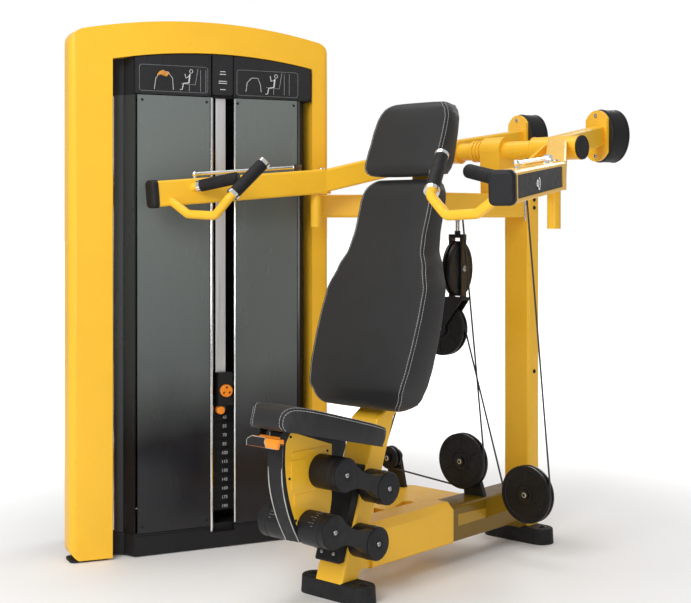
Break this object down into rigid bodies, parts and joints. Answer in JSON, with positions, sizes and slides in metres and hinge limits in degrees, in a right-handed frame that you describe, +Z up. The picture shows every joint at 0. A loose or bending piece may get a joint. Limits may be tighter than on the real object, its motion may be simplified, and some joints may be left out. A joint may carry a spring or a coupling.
{
  "type": "selectorized shoulder press machine",
  "caption": "Seated shoulder press machine: yellow frame, pivoting press arms with counterweights, stitched black pads, link-mounted seat and an enclosed weight stack with selector",
  "frame": {"origin": "centre of the footprint's bounding box, on the floor", "axes": "+Z up; a seated user faces -Y and has +X on the left; the weight tower stands on the -X side, turned 22 degrees in plan"},
  "size_m": [1.599, 1.3956, 1.519],
  "materials": {
    "yellow_paint": "gloss powder coat",
    "black_paint": "satin powder coat",
    "black_plastic": "moulded, fine grain",
    "smoked_panel": "smoked, glossy",
    "placard": "printed, glossy",
    "black_rubber": "matte",
    "chrome": "polished",
    "steel": "zinc plated",
    "strap": "satin",
    "stack_iron": "painted black",
    "orange_plastic": "gloss",
    "upholstery": "stitched synthetic leather",
    "cable": "coated wire rope"
  },
  "bodies": {
    "frame": {"feet": "black_rubber", "seat_column": "yellow_paint", "base_beam": "yellow_paint", "rear_post": "yellow_paint", "upper_strut": "yellow_paint", "tower_left_column": "yellow_paint", "tower_right_column": "yellow_paint", "tower_arch": "yellow_paint", "tower_soles": "black_rubber", "tower_base": "black_plastic", "left_side_shell": "smoked_panel", "right_side_shell": "smoked_panel", "front_panels": "smoked_panel", "rear_panel": "black_plastic", "header_box": "black_plastic", "placards": "placard", "guide_rods": "chrome", "lifting_strap": "strap", "buffer_pads": "black_rubber", "weight_plates": "stack_iron", "label_strip": "placard", "pivot_tube": "yellow_paint", "column_cover": "black_plastic", "back_pad": "upholstery", "head_pad": "upholstery", "pad_boards": "black_paint", "pulley_brackets": "black_paint", "float_block": "steel", "arm_cable": "cable", "left_arm_strand": "cable"},
    "left_arm": {"left_arm": "yellow_paint", "left_counterweight": "stack_iron", "left_arm_caps": "black_plastic", "left_grips": "black_rubber", "left_arm_chrome": "chrome"},
    "right_arm": {"right_arm": "yellow_paint", "right_counterweight": "stack_iron", "right_arm_caps": "black_plastic", "right_grips": "black_rubber", "right_arm_chrome": "chrome"},
    "clevis": {"strand_clevis": "steel"},
    "upper_link": {"upper_link": "black_paint"},
    "lower_link": {"lower_link": "black_paint"},
    "seat": {"seat_carriage": "yellow_paint", "carriage_shield": "black_plastic", "seat_pan": "black_paint", "seat_cushion": "upholstery"},
    "lever": {"seat_lever": "orange_plastic"},
    "lifted_stack": {"stack_head": "stack_iron", "selector_stem": "steel"},
    "knob": {"add_weight_knob": "orange_plastic"},
    "pin": {"selector_pin": "orange_plastic"},
    "low_left_wheel": {"low_left_pulley": "black_plastic"},
    "low_middle_wheel": {"low_middle_pulley": "black_plastic"},
    "float_low_wheel": {"float_low_pulley": "black_plastic"},
    "return_wheel": {"return_pulley": "black_plastic"},
    "float_top_wheel": {"float_top_pulley": "black_plastic"}
  },
  "joints": [
    {"name": "left_arm_press", "type": "hinge", "parent": "frame", "child": "left_arm", "pos_m": [0.3908, 0.2612, 1.152], "axis": [-1, 0, 0], "range_deg": [0, 42], "deforming": ["left_arm_strand"]},
    {"name": "right_arm_press", "type": "hinge", "parent": "frame", "child": "right_arm", "pos_m": [-0.0242, 0.2612, 1.152], "axis": [-1, 0, 0], "range_deg": [0, 42]},
    {"name": "clevis_hang", "type": "hinge", "parent": "left_arm", "child": "clevis", "pos_m": [0.3733, 0.1262, 1.09], "axis": [-1, 0, 0], "range_deg": [-42, 0]},
    {"name": "seat_upper_link", "type": "hinge", "parent": "frame", "child": "upper_link", "pos_m": [0.1833, -0.3608, 0.277], "axis": [-1, 0, 0], "range_deg": [-30, 5]},
    {"name": "seat_lower_link", "type": "hinge", "parent": "frame", "child": "lower_link", "pos_m": [0.1833, -0.4028, 0.146], "axis": [-1, 0, 0], "range_deg": [-30, 5]},
    {"name": "seat_level", "type": "hinge", "parent": "upper_link", "child": "seat", "pos_m": [0.1833, -0.5208, 0.334], "axis": [-1, 0, 0], "range_deg": [-5, 30]},
    {"name": "seat_lever_pull", "type": "hinge", "parent": "seat", "child": "lever", "pos_m": [0.1833, -0.6658, 0.426], "axis": [-1, 0, 0], "range_deg": [0, 12], "stiffness_Nm_per_rad": 1, "springref_deg": -11.46},
    {"name": "stack_lift", "type": "slide", "parent": "frame", "child": "lifted_stack", "axis": [0, 0, 1], "range_m": [0, 0.55], "deforming": ["lifting_strap"]},
    {"name": "knob_turn", "type": "hinge", "parent": "lifted_stack", "child": "knob", "pos_m": [-0.39733, -0.28176, 0.454], "axis": [0.9272, -0.3746, 0], "range_deg": [0, 120]},
    {"name": "pin_pull", "type": "slide", "parent": "lifted_stack", "child": "pin", "axis": [0.9272, -0.3746, 0], "range_m": [0, 0.09]},
    {"name": "low_left_spin", "type": "hinge", "parent": "frame", "child": "low_left_wheel", "pos_m": [0.3813, 0.1262, 0.198], "axis": [0, 1, 0], "continuous": true},
    {"name": "low_middle_spin", "type": "hinge", "parent": "frame", "child": "low_middle_wheel", "pos_m": [0.1613, 0.1262, 0.262], "axis": [0, 1, 0], "continuous": true},
    {"name": "float_low_spin", "type": "hinge", "parent": "frame", "child": "float_low_wheel", "pos_m": [0.0903, 0.1262, 0.638], "axis": [0, 1, 0], "continuous": true},
    {"name": "return_spin", "type": "hinge", "parent": "frame", "child": "return_wheel", "pos_m": [-0.1097, 0.1262, 0.238], "axis": [0, 1, 0], "continuous": true},
    {"name": "float_top_spin", "type": "hinge", "parent": "frame", "child": "float_top_wheel", "pos_m": [0.1413, 0.1262, 0.811], "axis": [0.9781, 0.2079, 0], "continuous": true}
  ],
  "couplings": [
    {"joint": "seat_lower_link", "follows": "seat_upper_link", "ratio": 1},
    {"joint": "seat_level", "follows": "seat_upper_link", "ratio": -1},
    {"joint": "clevis_hang", "follows": "left_arm_press", "ratio": -1}
  ]
}
